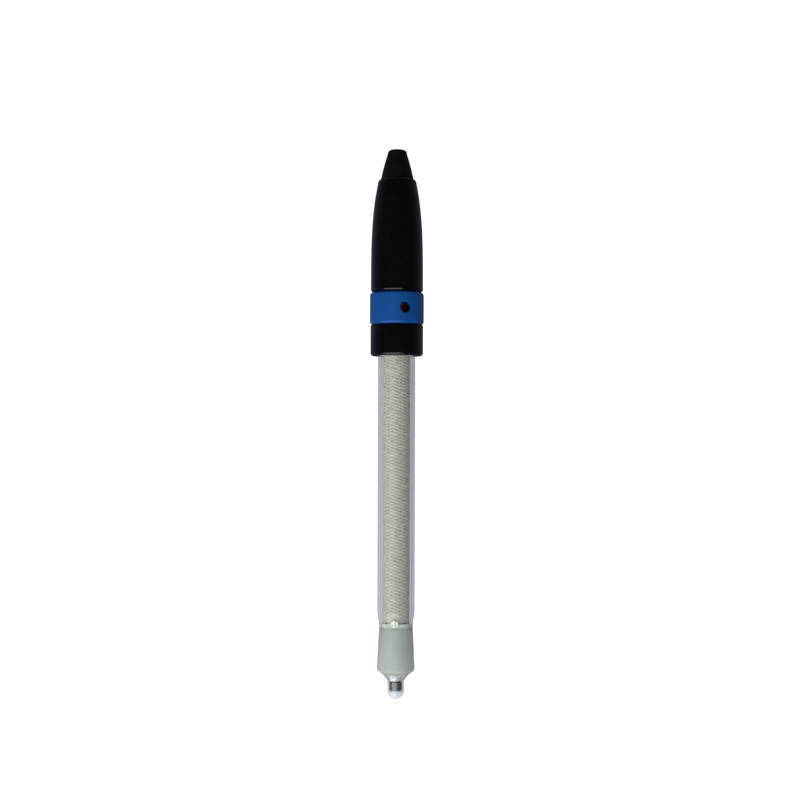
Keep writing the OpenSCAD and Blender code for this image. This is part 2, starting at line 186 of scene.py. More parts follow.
# ---------------------------------------------------------------- material helpers
class Nodes:
    """A node tree under construction; a value is a socket, a number or a colour of three numbers."""

    def __init__(self, tree):
        self.tree = tree

    def add(self, kind, **settings):
        node = self.tree.nodes.new(kind)
        for k, v in settings.items():
            setattr(node, k, v)
        return node

    def link(self, a, b):
        self.tree.links.new(a, b)

    def feed(self, node, *pairs):
        """Links or sets each (input, value) of the node."""
        for key, value in pairs:
            if hasattr(value, "is_linked"):
                self.link(value, node.inputs[key])
            else:
                node.inputs[key].default_value = (*value, 1) if hasattr(value, "__len__") else value

    def math(self, operation, a, b):
        node = self.add("ShaderNodeMath", operation=operation)
        self.feed(node, (0, a), (1, b))
        return node.outputs[0]

    def mix(self, fac, a, b, blend="MIX"):
        """Two colours mixed by fac."""
        node = self.add("ShaderNodeMix", data_type="RGBA", blend_type=blend)
        self.feed(node, (0, fac), (6, a), (7, b))
        return node.outputs[2]

    def ramp(self, fac, *stops):
        """A colour ramp of (position, colour) stops."""
        node = self.add("ShaderNodeValToRGB")
        self.link(fac, node.inputs["Fac"])
        elements = node.color_ramp.elements
        while len(elements) < len(stops):
            elements.new(0.5)
        for e, (position, colour) in zip(elements, stops):
            e.position = position
            e.color = (*colour, 1) if hasattr(colour, "__len__") else (colour, colour, colour, 1)
        return node.outputs["Color"]


class Look(Nodes):
    """A material under construction: a principled shader, and object coordinates in millimetres."""

    def __init__(self, name, roughness=0.5, ior=1.5):
        self.mat = bpy.data.materials.new(name)
        self.mat.use_nodes = True
        super().__init__(self.mat.node_tree)
        self.shader = self.tree.nodes["Principled BSDF"]
        self.output = self.tree.nodes["Material Output"]
        self.shader.inputs["Roughness"].default_value = roughness
        self.shader.inputs["IOR"].default_value = ior
        self.coords = self.add("ShaderNodeTexCoord").outputs["Object"]

    def set(self, **values):
        for k, v in values.items():
            self.shader.inputs[k.replace("_", " ")].default_value = v

    def mapped(self, vector, scale, turn=0.0):
        """Coordinates times scale, then turned about z by an angle in radians."""
        node = self.add("ShaderNodeMapping")
        node.inputs["Scale"].default_value = scale
        node.inputs["Rotation"].default_value = (0, 0, turn)
        self.link(vector, node.inputs["Vector"])
        return node.outputs["Vector"]

    def stretched(self, scale):
        """Object coordinates times scale per millimetre along x, y and z."""
        return self.mapped(self.coords, [s / MM for s in scale])

    def noise(self, where, detail, roughness=0.5):
        """Noise as fine as a scale per millimetre, one number or three, or over a socket's coordinates."""
        if not hasattr(where, "is_linked"):
            where = self.stretched(where if hasattr(where, "__len__") else (where,) * 3)
        node = self.add("ShaderNodeTexNoise")
        self.feed(node, ("Scale", 1.0), ("Detail", detail), ("Roughness", roughness), ("Vector", where))
        return node.outputs["Fac"]

    def span(self, fac, a, b, lo=0.0, hi=1.0):
        """fac from a to b, mapped softly to lo to hi."""
        node = self.add("ShaderNodeMapRange", interpolation_type="SMOOTHSTEP")
        self.feed(node, ("Value", fac), ("From Min", a), ("From Max", b), ("To Min", lo), ("To Max", hi))
        return node.outputs["Result"]

    def height(self):
        """Height above the collar's face, in millimetres."""
        node = self.add("ShaderNodeSeparateXYZ")
        self.link(self.stretched((1, 1, 1)), node.inputs[0])
        return node.outputs["Z"]

    def colour(self, socket):
        self.link(socket, self.shader.inputs["Base Color"])

    def rough(self, socket):
        self.link(socket, self.shader.inputs["Roughness"])

    def bump(self, heights, depth, strength):
        """Bumps of a depth in millimetres."""
        node = self.add("ShaderNodeBump")
        self.feed(node, ("Strength", strength), ("Distance", depth * MM), ("Height", heights))
        self.link(node.outputs["Normal"], self.shader.inputs["Normal"])
        return node.outputs["Normal"]

    def shows(self, shader, shadow):
        """The shader is the surface, and lamps light what is behind it through a tint."""
        path, thin, mix = (self.add(k) for k in
                           ("ShaderNodeLightPath", "ShaderNodeBsdfTransparent", "ShaderNodeMixShader"))
        self.feed(thin, ("Color", shadow))
        self.feed(mix, (0, path.outputs["Is Shadow Ray"]), (1, shader), (2, thin.outputs[0]))
        self.link(mix.outputs[0], self.output.inputs["Surface"])


# ---------------------------------------------------------------- materials
def rubber(name, dark, light, rough):
    """Matt rubber with a fine grain."""
    look = Look(name)
    grain = look.noise(9.0, 4)
    look.colour(look.ramp(look.noise(0.6, 3), (0.3, dark), (0.75, light)))
    look.rough(look.span(grain, 0.3, 0.7, rough - 0.08, rough + 0.08))
    look.bump(grain, 0.015, 0.5)
    look.set(Specular_IOR_Level=0.3)
    return look.mat


def gloss(name, dark, light, rough):
    """Moulded plastic: a faint ripple in the surface and fine handling marks in its shine."""
    look = Look(name)
    look.colour(look.ramp(look.noise(0.35, 3), (0.35, dark), (0.7, light)))
    marks = look.noise((2.5, 2.5, 0.5), 5, 0.7)
    look.rough(look.span(marks, 0.45, 0.8, rough, rough + 0.1))
    look.bump(look.noise(0.7, 2), 0.012, 0.35)
    return look.mat


def metal(name, colour, rough):
    """Drawn metal, with fine rings round it."""
    look = Look(name)
    drawn = look.noise((0.4, 0.4, 14.0), 3)
    look.colour(look.ramp(drawn, (0.3, [c * 0.7 for c in colour]), (0.7, colour)))
    look.rough(look.span(drawn, 0.3, 0.7, rough, rough + 0.12))
    look.bump(drawn, 0.004, 0.4)
    look.set(Metallic=1.0)
    return look.mat


def plain(name, dark, light, rough, subsurface=0.0):
    """Cloudy, slightly uneven stuff: plastic, ceramic or fibre."""
    look = Look(name)
    look.colour(look.ramp(look.noise(1.2, 4), (0.3, dark), (0.7, light)))
    look.rough(look.span(look.noise(5.0, 3), 0.3, 0.7, rough - 0.06, rough + 0.06))
    look.bump(look.noise(4.0, 3), 0.01, 0.4)
    if subsurface:
        look.set(Subsurface_Weight=subsurface, Subsurface_Radius=(0.002, 0.002, 0.002), Subsurface_Scale=1.0)
    return look.mat


boot_rubber = rubber("boot_rubber", (0.0014, 0.0014, 0.0015), (0.003, 0.003, 0.0032), 0.5)
black_gloss = gloss("black_gloss", (0.0004, 0.0003, 0.0004), (0.001, 0.0009, 0.001), 0.2)
seal_rubber = rubber("seal_rubber", (0.008, 0.008, 0.008), (0.02, 0.02, 0.02), 0.55)
stopper_rubber = rubber("stopper_rubber", (0.16, 0.03, 0.012), (0.3, 0.06, 0.025), 0.5)
potting_resin = gloss("potting_resin", (0.02, 0.013, 0.008), (0.04, 0.028, 0.02), 0.25)
cream_plastic = plain("cream_plastic", (0.6, 0.56, 0.43), (0.72, 0.68, 0.55), 0.4)
white_plastic = plain("white_plastic", (0.52, 0.55, 0.50), (0.62, 0.64, 0.60), 0.45)
white_ceramic = plain("white_ceramic", (0.27, 0.29, 0.26), (0.42, 0.44, 0.405), 0.65, 0.1)
white_packing = plain("white_packing", (0.36, 0.37, 0.37), (0.58, 0.59, 0.59), 0.7, 0.2)
silver_wire = metal("silver_wire", (0.62, 0.62, 0.6), 0.22)
pin_brass = metal("pin_brass", (0.72, 0.52, 0.22), 0.25)
dark_metal = metal("dark_metal", (0.19, 0.195, 0.205), 0.12)


def blue_plastic():
    """Blue moulded plastic, with darker streaks along the axis."""
    look = Look("blue_ring")
    base = look.ramp(look.noise(0.4, 3), (0.3, (0.0018, 0.038, 0.158)), (0.7, (0.0025, 0.044, 0.178)))
    moulding = look.span(look.noise((4.0, 4.0, 0.12), 2), 0.3, 0.7, 0.0, 0.35)
    look.colour(look.mix(moulding, base, (0.0018, 0.028, 0.118)))
    marks = look.noise((3.0, 3.0, 0.8), 5, 0.7)
    look.rough(look.span(marks, 0.4, 0.8, 0.28, 0.4))
    look.bump(look.noise(6.0, 3), 0.006, 0.4)
    look.set(Specular_IOR_Level=0.2)
    return look.mat


blue_ring = blue_plastic()
GLASS_IOR = 1.47


def clear(name, tint):
    """Drawn glass: faint streaks along the tube."""
    look = Look(name, 0.0, GLASS_IOR)
    look.set(Transmission_Weight=1.0)
    streaks = look.noise((1.2, 1.2, 0.05), 3)
    look.colour(look.ramp(streaks, (0.3, [c * 0.97 for c in tint]), (0.7, tint)))
    look.rough(look.span(streaks, 0.3, 0.8, 0.0, 0.02))
    look.bump(look.noise((1.5, 1.5, 0.08), 2), 0.004, 0.3)
    look.shows(look.shader.outputs[0], (1, 1, 1))
    return look.mat


clear_glass = clear("clear_glass", (0.975, 0.99, 0.985))
FADE, RAGGED = 0.35, 0.12        # half height over which the ground surface ends, and how uneven its end is


def ground_glass(name, white, rough, share, top_z=None):
    """Glass ground below top_z: a share of the light spreads in its skin, and the rest passes through."""
    look = Look(name, rough, GLASS_IOR)
    look.set(Transmission_Weight=1.0)
    grain = look.noise(7.0, 4, 0.6)
    look.colour(look.ramp(look.noise(1.0, 3), (0.3, (0.90, 0.94, 0.92)), (0.7, (0.94, 0.97, 0.95))))
    roughness = look.span(grain, 0.3, 0.7, rough - 0.06, rough + 0.06)
    if top_z is not None:
        ragged = look.math("ADD", look.height(), look.span(look.noise(1.5, 3), 0.3, 0.7, -RAGGED, RAGGED))
        ground = look.span(ragged, top_z + FADE, top_z - FADE)
        roughness = look.math("MULTIPLY", roughness, ground)
    look.rough(roughness)
    normal = look.bump(grain, 0.01, 0.6)
    skin = look.add("ShaderNodeBsdfPrincipled")
    speckle = look.ramp(look.noise(3.0, 4, 0.6), (0.3, [c * 0.94 for c in white]), (0.7, white))
    skin.inputs["Subsurface Radius"].default_value = (1.0, 1.0, 1.0)
    look.feed(skin, ("Roughness", rough), ("Subsurface Weight", 1.0), ("Subsurface Scale", 0.006),
              ("Specular IOR Level", 0.35), ("Base Color", speckle), ("Normal", normal))
    both = look.add("ShaderNodeMixShader")
    if top_z is not None:
        share = look.math("MULTIPLY", ground, share)
    look.feed(both, (0, share), (1, look.shader.outputs[0]), (2, skin.outputs[0]))
    look.shows(both.outputs[0], (0.55, 0.58, 0.56))
    return look.mat


frosted_glass = ground_glass("frosted_glass", (0.46, 0.475, 0.46), 0.45, 0.25)
ground_cone = ground_glass("ground_cone", (0.45, 0.465, 0.44), 0.5, 0.4, -86.55)


def fibre(name, dark, light, depth):
    """Twisted fibres: the UV map runs along each yarn, in millimetres."""
    look = Look(name, 0.7)
    uv = look.add("ShaderNodeTexCoord").outputs["UV"]
    strands = look.noise(look.mapped(uv, (0.5, 9.0, 1.0), 0.3), 2)
    patches = look.noise(look.mapped(uv, (0.25, 0.7, 1.0)), 3, 0.6)
    base = look.ramp(patches, (0.3, dark), (0.7, light))
    # darker where the strands' bump is lowest: painted shade in the grooves between fibres
    look.colour(look.mix(look.span(strands, 0.3, 0.65, 0.35, 0.0), base, [c * 0.6 for c in dark]))
    look.bump(strands, depth, 0.6)
    look.set(Sheen_Weight=0.15, Sheen_Roughness=0.5)
    return look.mat


woven_core = fibre("woven_core", (0.248, 0.258, 0.21), (0.338, 0.345, 0.288), 0.02)
# the backing that shows between the yarns is coloured darker than the yarns: painted shade in the gaps
backing_painted_shade = plain("backing_painted_shade", (0.176, 0.183, 0.145), (0.224, 0.23, 0.185), 0.8)


# ---------------------------------------------------------------- head: boot, cap, ring, collar
def boot_shape():
    """The rubber boot: a flange inside the cap, and a taper above it."""
    side = []
    height = BOOT_TOP_Z - CAP_TOP_Z - BOOT_ROUND
    for i in range(41):
        t = i / 40
        side.append((BOOT_R - (BOOT_R - BOOT_TIP_R) * t ** BOOT_POWER, CAP_TOP_Z + height * t))
    bottom = FLANGE_TOP_Z - FLANGE_H
    neck = BOOT_R - PUSH_GAP
    return ([(BOOT_BORE_R, bottom), (FLANGE_R - SOFT_EDGE, bottom), (FLANGE_R, bottom + SOFT_EDGE),
             (FLANGE_R, FLANGE_TOP_Z - EDGE), (FLANGE_R - EDGE, FLANGE_TOP_Z), (neck, FLANGE_TOP_Z),
             (neck, CAP_TOP_Z - PUSH_GAP)] + side
            + arc(BOOT_TIP_R - BOOT_ROUND, BOOT_TOP_Z - BOOT_ROUND, BOOT_ROUND, 8, 86, 16)
            + arc(BOOT_BORE_R + EDGE, BOOT_TOP_Z - EDGE, EDGE, 90, 180, 4))


def cap_shape():
    """The bullet-shaped cap: its seat on the head, its side and shoulder, and the hollow inside."""
    side_z = CAP_Z + CAP_EDGE
    side_h = CAP_LEN - CAP_EDGE - CAP_ROUND
    side = []
    for i in range(1, 81):
        t = i / 80
        side.append((CAP_R - (CAP_R - CAP_TOP_R) * t ** CAP_POWER, side_z + side_h * t))
    relief = FLANGE_R + PUSH_GAP
    return ([(SPIGOT_R + PUSH_GAP, CAP_SEAT_Z), (SPIGOT_R + PUSH_GAP, CAP_Z)]
            + arc(CAP_R - CAP_EDGE, side_z, CAP_EDGE, -90, 0, 16) + side
            + arc(CAP_TOP_R - CAP_ROUND, CAP_TOP_Z - CAP_ROUND, CAP_ROUND, 12, 70, 14)
            + [(BOOT_R, CAP_TOP_Z - PUSH_GAP), (BOOT_R, FLANGE_TOP_Z), (relief, FLANGE_TOP_Z),
               (relief, FLANGE_TOP_Z - 3 * FLANGE_H), (CAP_BORE_R, HEAD_TOP_Z + CAP_BORE_H),
               (CAP_BORE_R, CAP_SEAT_Z)])


def ring_shape():
    """The refill ring, before its hole is cut."""
    return ([(RING_BORE_R, RING_Z + EDGE), (RING_BORE_R + EDGE, RING_Z)]
            + arc(RING_R - RING_ROUND, RING_Z + RING_ROUND, RING_ROUND, -90, 0, 18)
            + arc(RING_R - RING_ROUND, RING_TOP_Z - RING_ROUND, RING_ROUND, 0, 90, 18)
            + [(RING_BORE_R + EDGE, RING_TOP_Z), (RING_BORE_R, RING_TOP_Z - EDGE)])


def body_shape():
    """The head's body: collar, spigot with its seal grooves, chamber, and the seat of the stem."""
    grooves = []
    for z in (RING_Z + SEAL_INSET, RING_TOP_Z - SEAL_INSET):
        lo, hi = z - GROOVE_W / 2, z + GROOVE_W / 2
        grooves += [(SPIGOT_R, lo), (GROOVE_R, lo), (GROOVE_R, hi), (SPIGOT_R, hi)]
    return ([(GLUE_R, 0)] + arc(COLLAR_R - COLLAR_ROUND, COLLAR_ROUND, COLLAR_ROUND, -90, 0, 18)
            + arc(COLLAR_R - COLLAR_TOP_ROUND, COLLAR_H - COLLAR_TOP_ROUND, COLLAR_TOP_ROUND, 0, 90, 4)
            + [(SPIGOT_R, COLLAR_H)] + grooves
            + [(SPIGOT_R, CAP_SEAT_Z), (CAP_SEAT_R, CAP_SEAT_Z), (CAP_SEAT_R, HEAD_TOP_Z - SOFT_EDGE),
               (CAP_SEAT_R - SOFT_EDGE, HEAD_TOP_Z), (STOPPER_BORE_R, HEAD_TOP_Z), (STOPPER_BORE_R, STOPPER_Z),
               (CHAMBER_R, STOPPER_Z), (CHAMBER_R, CHAMBER_Z), (SEAT_BORE_R, CHAMBER_Z),
               (SEAT_BORE_R, GLUE_H), (GLUE_R, GLUE_H)])


boot = make("boot", turned(boot_shape()), [boot_rubber])
place(boot, "probe_body", "boot_rubber", "cable_boot")
cap = make("cap", turned(cap_shape()), [black_gloss])
place(cap, "probe_body", "black_gloss", "cap_shell")

ring = make("refill_ring", turned(ring_shape(), 256), [blue_ring])
hole_end = SPIGOT_R - 0.5
hole = make("hole", facing(PORT_TURN, PORT_Z, turned(
    [(0, hole_end), (HOLE_R, hole_end), (HOLE_R, RING_R - HOLE_RIM),
     (HOLE_R + HOLE_RIM / 2, RING_R - HOLE_RIM * 0.28), (HOLE_R + 2 * HOLE_RIM, RING_R + HOLE_RIM),
     (0, RING_R + HOLE_RIM)], 96)), [])
drill(ring, hole)
place(ring, "ring", "blue_ring", "filler_ring")

body = make("head_and_collar", turned(body_shape(), 256), [black_gloss])
port = make("port", facing(PORT_TURN, PORT_Z, turned(
    [(0, 1), (PORT_R, 1), (PORT_R, RING_R), (0, RING_R)], 96)), [])
drill(body, port)
place(body, "probe_body", "black_gloss", "head_body")


# ---------------------------------------------------------------- glass stem with its tip
def ease(t):
    """The share of the shoulder's change in radius at a share t of its length."""
    t = t ** SHOULDER_POWER
    return t * t * (3 - 2 * t)


def shoulder(a, b, n=40):
    """The S-shaped shoulder from radius a to radius b."""
    return [(a + (b - a) * ease(i / n), -STEM_LEN - SHOULDER_LEN * i / n) for i in range(n + 1)]


def stem_radius(z):
    """Radius of the stem's surface on the shoulder and the neck."""
    t = min(1.0, max(0.0, (-STEM_LEN - z) / SHOULDER_LEN))
    return STEM_R + (NECK_R - STEM_R) * ease(t)


def stem_shape():
    """The stem and the tip in one: outside from the seat down to the round end, then inside back up."""
    outside = ([(SEAT_R, SEAT_LEN), (SEAT_R, 0.0), (STEM_R - 0.08, 0.0), (STEM_R, -0.08)]
               + shoulder(STEM_R, NECK_R)
               + [(NECK_R, CONE_TOP_Z + 0.02), (NECK_R - 0.02, CONE_TOP_Z), (CONE_TOP_R, CONE_TOP_Z),
                  (CONE_END_R, JOINT_END_Z)]
               + [(CONE_END_R - 0.06, JOINT_END_Z - 0.10), (TIP_R + 0.16, TIP_Z + 0.14), (TIP_R, TIP_Z - 0.06)]
               + arc(0, TIP_CENTRE_Z, TIP_R, 0, -90, 40))
    inside = (arc(0, TIP_CENTRE_Z, TIP_BORE_R, -90, 0, 40)
              + [(TIP_BORE_R, TIP_Z), (CONE_BORE_R, TUBE_END_Z), (CONE_BORE_R, WEB_Z), (NECK_BORE_R, WEB_Z)]
              + shoulder(STEM_BORE_R, NECK_BORE_R)[::-1] + [(STEM_BORE_R, SEAT_LEN)])
    return outside + inside


def grid(columns, rows):
    """Faces of a closed band of vertices, stored row by row."""
    faces = []
    for j in range(rows - 1):
        for i in range(columns):
            k = (i + 1) % columns
            faces.append((j * columns + i, j * columns + k, (j + 1) * columns + k, (j + 1) * columns + i))
    return faces


FRIT_SINK, FRIT_GRAIN, FRIT_HOLE_GAP = 0.08, 0.05, 0.012  # below the glass, its roughness, the hole's clearance
CRACK_X, CRACK_W, CRACK_DEPTH = 0.42, 0.1, 0.22


def frit_outline(n, grow=0.0):
    """The frit's uneven outline, as (side, height) points about its middle."""
    points = []
    for i in range(n):
        t = 2 * math.pi * i / n
        # two shallow chips out of the upper rim
        bite = 0.10 * math.exp(-((t - 1.2) / 0.35) ** 2) + 0.06 * math.exp(-((t - 2.3) / 0.3) ** 2)
        r = FRIT_R * (0.955 + 0.035 * noise.noise((1.6 * math.cos(t), 1.6 * math.sin(t), 4.2)) - bite) + grow
        points.append((r * math.cos(t), r * math.sin(t)))
    return points


def frit_shape(n=96):
    """A plug that follows the neck inside and outside, with a crack down its right half."""
    shares = [0.02] + [0.1 * i for i in range(1, 10)] + [0.96, 1.0]
    verts, rings = [], [(share, False) for share in shares] + [(1.0, True), (0.5, True), (0.02, True)]
    for share, inner in rings:
        for x, y in frit_outline(n):
            x, y = x * share, y * share
            z = FRIT_Z + y
            grainy = FRIT_GRAIN * noise.noise((x * 2.2, y * 2.2, 1.7))
            crack = CRACK_DEPTH * math.exp(-((x - CRACK_X - 0.06 * math.sin(3 * y)) / CRACK_W) ** 2)
            edge = FRIT_SINK if share == 1 else 0
            r = NECK_BORE_R + PUSH_GAP if inner else stem_radius(z) - FRIT_SINK - edge - crack + grainy
            verts.append((x, y, math.sqrt(max(0.0, r * r - x * x))))
    faces = grid(n, len(rings))
    faces.append(tuple(reversed(range(n))))
    faces.append(tuple(range((len(rings) - 1) * n, len(rings) * n)))
    faces = [tuple(reversed(f)) for f in faces]
    return facing(FRIT_TURN, 0, ([(x, y + FRIT_Z, h) for x, y, h in verts], faces))


def frit_cutter(n=72):
    """The hole that the frit stands in."""
    verts = [(x, y, h) for h in (NECK_BORE_R - 1.2, STEM_R + 1) for x, y in frit_outline(n, FRIT_HOLE_GAP)]
    faces = grid(n, 2) + [tuple(reversed(range(n))), tuple(range(n, 2 * n))]
    return facing(FRIT_TURN, FRIT_Z, (verts, faces))


stem = make("glass_stem_and_tip", turned(stem_shape()), [clear_glass, ground_cone], 20)
for face in stem.data.polygons:
    # the cone and the neck's outside are ground; the bores are clear
    z, r = face.center.z / MM, math.hypot(face.center.x, face.center.y) / MM
    in_bore = r < CONE_END_R - 0.1 or (z > WEB_Z and r < NECK_BORE_R + 0.1)
    if JOINT_END_Z < z < NECK_Z + 0.5 and not in_bore:
        face.material_index = 1
drill(stem, make("frit_hole", frit_cutter(), []))
place(stem, "probe_body", "clear_glass", "stem_tube", "sensing_tip")
frit = make("junction_plug", frit_shape(), [white_ceramic], 50)
place(frit, "probe_body", "white_ceramic", "junction_frit")


# ---------------------------------------------------------------- ground-glass sleeve
def sleeve_shape():
    """The sleeve: a cone outside with a rounded lip, and the ground bore inside."""
    end_r = CONE_END_R + JOINT_GAP
    corner_r = NECK_R + SLEEVE_FLARE - LIP_ROUND
    slope = math.degrees(math.atan2(LIP_H, corner_r - end_r)
                         - math.asin(LIP_ROUND / math.hypot(LIP_H, corner_r - end_r)))
    lip_z = JOINT_END_Z + LIP_H
    return ([(CONE_TOP_R + JOINT_GAP, JOINT_Z), (NECK_R - 0.02, JOINT_Z), (NECK_R, JOINT_Z - 0.02)]
            + arc(corner_r, lip_z, LIP_ROUND, 3, slope - 90, 24)
            + [(end_r + JOINT_GAP, JOINT_END_Z + 0.03), (end_r, JOINT_END_Z + 0.06)])


sleeve = make("ground_sleeve_visual", turned(sleeve_shape()), [frosted_glass], 40)
place(sleeve, "sleeve", "frosted_glass", "ground_sleeve")


# ---------------------------------------------------------------- woven core
YARNS, PITCH = 10, 1.03          # yarns each way round, and the height between neighbours
WAVE, YARN_W, YARN_T, LIFT = 0.06, 0.86, 0.17, 0.02
YARN_EDGE = -0.08                # a yarn's edges lie this far below its middle, in its thickness
ENDS_UNEVEN = 0.3
STEPS, SEED = 8, 7               # points along a yarn for each pitch
BACKING_R = 4.1


def weave():
    """Yarns that cross over and under each other, with a UV map in millimetres along each yarn."""
    middle = BRAID_R - WAVE - YARN_T / 2 - LIFT
    turn = 2 * math.pi / (YARNS * PITCH)
    step = PITCH / STEPS
    lean = math.atan(middle * turn)
    verts, faces, uvs = [], [], []
    rng = random.Random(SEED)
    section = [(-YARN_W / 2, YARN_EDGE), (-YARN_W * 0.27, YARN_T * 0.34), (YARN_W * 0.05, YARN_T / 2),
               (YARN_W * 0.32, YARN_T * 0.3), (YARN_W / 2, YARN_EDGE)]
    n = len(section)
    for way in (1, -1):
        for k in range(YARNS):
            low = BRAID_END_Z + 0.32 + ENDS_UNEVEN * rng.random()
            count = int((BRAID_TOP_Z - ENDS_UNEVEN - low) / step) + 1
            z = low + np.arange(count) * step
            drift = 0.012 * np.sin(z * rng.uniform(0.2, 0.5) + rng.uniform(0, 6))
            angle = 2 * math.pi * (k + 0.05 * rng.uniform(-1, 1)) / YARNS + way * turn * z + drift
            bend = middle - way * LIFT + way * WAVE * np.cos(2 * math.pi * z / PITCH)
            width = 1 + 0.08 * np.sin(z * rng.uniform(1.6, 2.6) + rng.uniform(0, 6))
            flat = np.zeros(count)
            out = np.stack([np.cos(angle), np.sin(angle), flat], 1)
            round_ = np.stack([-np.sin(angle), np.cos(angle), flat], 1)
            up = np.array([0, 0, 1.0])
            across = way * math.cos(lean) * round_ - math.sin(lean) * up
            along = z[:, None] * up
            first = len(verts)
            rows = np.stack([along + (bend + t)[:, None] * out + (w * width)[:, None] * across
                             for w, t in section], 1)
            verts.extend(map(tuple, rows.reshape(-1, 3)))
            for j in range(count):
                for w, t in section:
                    uvs.append((float(z[j]) / math.cos(lean) + 37.0 * k, w + 3.0 * (k + YARNS * (way > 0))))
            quads = [(first + j * n + i, first + j * n + (i + 1) % n, first + (j + 1) * n + (i + 1) % n,
                      first + (j + 1) * n + i) for j in range(count - 1) for i in range(n)]
            last = first + (count - 1) * n
            quads += [tuple(range(first + n - 1, first - 1, -1)), tuple(range(last, last + n))]
            faces.extend(quads if way > 0 else [q[::-1] for q in quads])
    return verts, faces, uvs


verts, faces, uvs = weave()
braid = make("woven_sleeve", (verts, faces), [woven_core], 75)
layer = braid.data.uv_layers.new(name="yarn")
corner = np.zeros(len(braid.data.loops), np.int32)
braid.data.loops.foreach_get("vertex_index", corner)
layer.data.foreach_set("uv", np.array(uvs, np.float32)[corner].ravel())
place(braid, "probe_body", "woven_core", "braided_sleeve")
backing = make("woven_sleeve_backing", turned(
    [(BRAID_BORE_R, BRAID_END_Z), (BACKING_R, BRAID_END_Z), (BACKING_R, BRAID_TOP_Z), (BRAID_BORE_R, BRAID_TOP_Z)],
    96), [backing_painted_shade])
place(backing, "probe_body", "woven_core")


# ---------------------------------------------------------------- tip: packing and element
WAD_FILL, WAD_FOLD, WAD_HOLLOW = 0.86, 0.16, 0.32   # shares of the tip's bore
WAD_HOLLOW_TURN, WAD_LEAST_R = 40, 0.75             # degrees from +X towards the front, and millimetres


def packing_shape(columns=96, rows=36):
    """A crumpled wad round the wire, fuller on the left than at the right of the front."""
    top, bottom = TUBE_END_Z - PUSH_GAP, ELEMENT_Z + PUSH_GAP
    limit = TIP_BORE_R - PUSH_GAP
    verts = []
    for j in range(rows + 1):
        t = j / rows
        z = bottom + (top - bottom) * t
        for i in range(columns):
            a = 2 * math.pi * i / columns
            x, y = math.cos(a), math.sin(a)
            fold = noise.fractal((x * 1.7, y * 1.7, z * 1.1), 1.0, 2.1, 4)
            right = max(0.0, math.cos(a + math.radians(WAD_HOLLOW_TURN)))
            r = limit * (WAD_FILL - WAD_HOLLOW * right ** 2 * (1 - 0.5 * t) + WAD_FOLD * fold)
            ends = min(1.0, 0.35 + 5 * t, 0.35 + 5 * (1 - t))
            r = max(WAD_LEAST_R, min(limit, r * ends ** 0.5))
            verts.append((r * x, r * y, z + 0.12 * fold * min(1, 6 * t, 6 * (1 - t))))
    for j in (rows, 0):
        z = bottom + (top - bottom) * j / rows
        for i in range(columns):
            a = 2 * math.pi * i / columns
            verts.append((WIRE_R * math.cos(a), WIRE_R * math.sin(a), z))
    faces = grid(columns, rows + 3)
    last = (rows + 2) * columns
    for i in range(columns):
        k = (i + 1) % columns
        faces.append((last + i, last + k, k, i))
    return verts, faces


wad = make("tip_wad", packing_shape(), [white_packing], 60)
place(wad, "probe_body", "white_packing", "tip_packing")
element = make("element", turned(
    [(0, ELEMENT_Z), (ELEMENT_R - ELEMENT_EDGE, ELEMENT_Z), (ELEMENT_R, ELEMENT_Z - ELEMENT_EDGE),
     (ELEMENT_R, ELEMENT_Z - ELEMENT_H + ELEMENT_EDGE), (ELEMENT_R - ELEMENT_EDGE, ELEMENT_Z - ELEMENT_H),
     (0, ELEMENT_Z - ELEMENT_H)]), [dark_metal], 25)
place(element, "probe_body", "dark_metal", "sensing_element")

# ---------------------------------------------------------------- inner parts keep their CAD meshes
inner = {
    "terminal_disc": (cream_plastic, "cream_plastic"), "signal_pin": (pin_brass, "pin_brass"),
    "reference_pin": (pin_brass, "pin_brass"), "potting_plug": (potting_resin, "potting_resin"),
    "tube_stopper": (stopper_rubber, "stopper_rubber"), "upper_o_ring": (seal_rubber, "seal_rubber"),
    "lower_o_ring": (seal_rubber, "seal_rubber"), "stem_gasket": (seal_rubber, "seal_rubber"),
    "inner_tube": (clear_glass, "clear_glass"), "upper_spacer": (white_plastic, "white_plastic"),
    "lower_spacer": (white_plastic, "white_plastic"), "signal_wire": (silver_wire, "silver_wire"),
    "reference_wire": (silver_wire, "silver_wire"),
}
for name, (material, slot) in inner.items():
    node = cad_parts[name]
    node.data.materials.clear()
    node.data.materials.append(material)


# ---------------------------------------------------------------- studio
def area(name, azimuth, elevation, distance, size, power, colour, aim_z, shine):
    """A soft light; azimuth is to the right of the front, and shine lets it show in glossy surfaces."""
    light = bpy.data.lights.new(name, "AREA")
    light.shape, light.size, light.size_y = "RECTANGLE", size[0], size[1]
    light.energy, light.color = power, colour
    obj = bpy.data.objects.new(name, light)
    a, e = math.radians(azimuth - 90), math.radians(elevation)
    out = Vector((math.cos(a) * math.cos(e), math.sin(a) * math.cos(e), math.sin(e)))
    aim = Vector((0, 0, aim_z * MM))
    obj.location = aim + out * distance
    obj.rotation_mode = "QUATERNION"
    obj.rotation_quaternion = out.to_track_quat("Z", "Y")
    obj.visible_camera = False
    obj.visible_glossy = shine
    obj.visible_transmission = False
    scene.collection.objects.link(obj)
    return obj


area("key", -25, 2, 0.6, (0.35, 0.5), 1.25, (1.0, 1.0, 0.985), -70, False)
area("low", -32, -48, 0.45, (0.9, 0.25), 4.6, (0.97, 0.99, 1.0), 5, False)
under = area("under", -22, -46, 0.45, (0.6, 0.4), 1.7, (0.97, 1.0, 0.97), 0, True)
under.visible_diffuse = False


